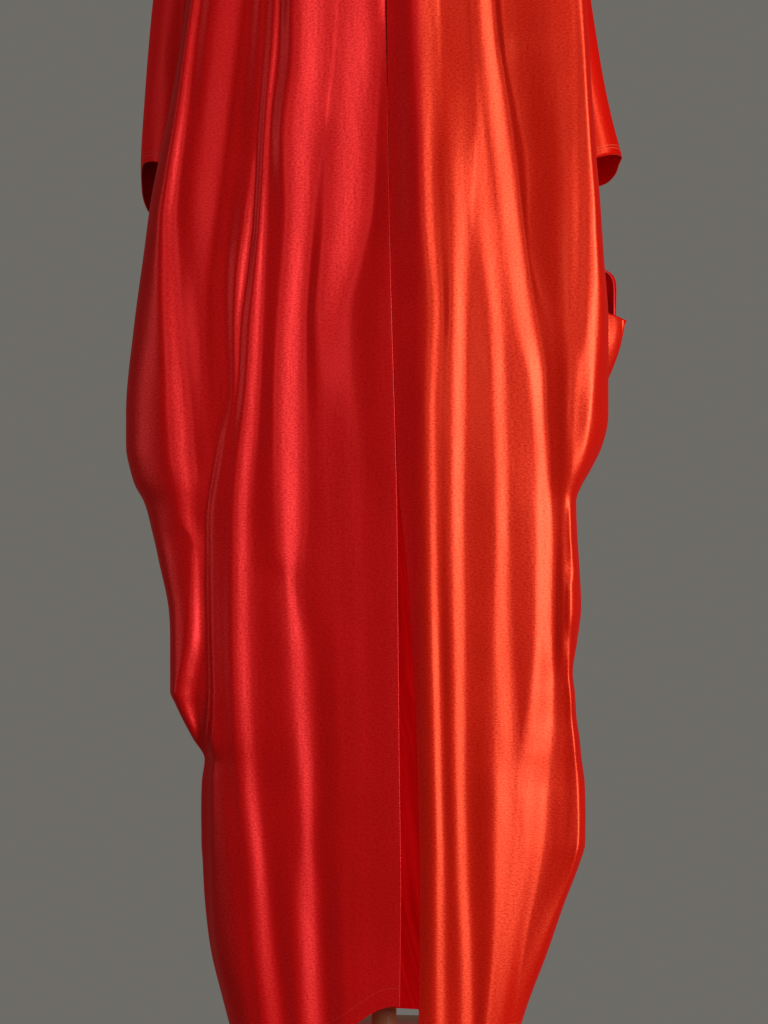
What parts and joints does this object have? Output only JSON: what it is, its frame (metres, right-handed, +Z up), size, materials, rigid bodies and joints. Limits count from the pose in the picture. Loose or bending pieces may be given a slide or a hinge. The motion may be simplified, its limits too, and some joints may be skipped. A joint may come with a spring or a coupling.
{
  "type": "kaftan on dress form stand",
  "caption": "Full-length satin kaftan in two colours with side drape, front slit and empty sleeves, hanging on a limbless dress form with a round base.",
  "frame": {"origin": "on the floor, under the middle of the part's bounding box; the stand's pole is 9 mm to +X of it", "axes": "+Z up; the garment's front and slit face -Y; +X is on the right of a viewer who faces the front"},
  "size_m": [0.496, 0.32, 1.516],
  "materials": {
    "crimson_satin": "glossy satin weave",
    "orange_satin": "glossy satin weave",
    "linen": "matt stretched linen",
    "brown_wood": "satin varnish",
    "steel": "brushed"
  },
  "bodies": {
    "root": {"front_left": "crimson_satin", "front_right": "orange_satin", "back": "crimson_satin", "sleeve_left": "crimson_satin", "sleeve_right": "orange_satin", "pocket_lip_front": "orange_satin", "pocket_lip_back": "crimson_satin", "form_torso": "linen", "form_neck_cap": "brown_wood", "form_pole": "steel", "form_base": "brown_wood"}
  },
  "joints": []
}
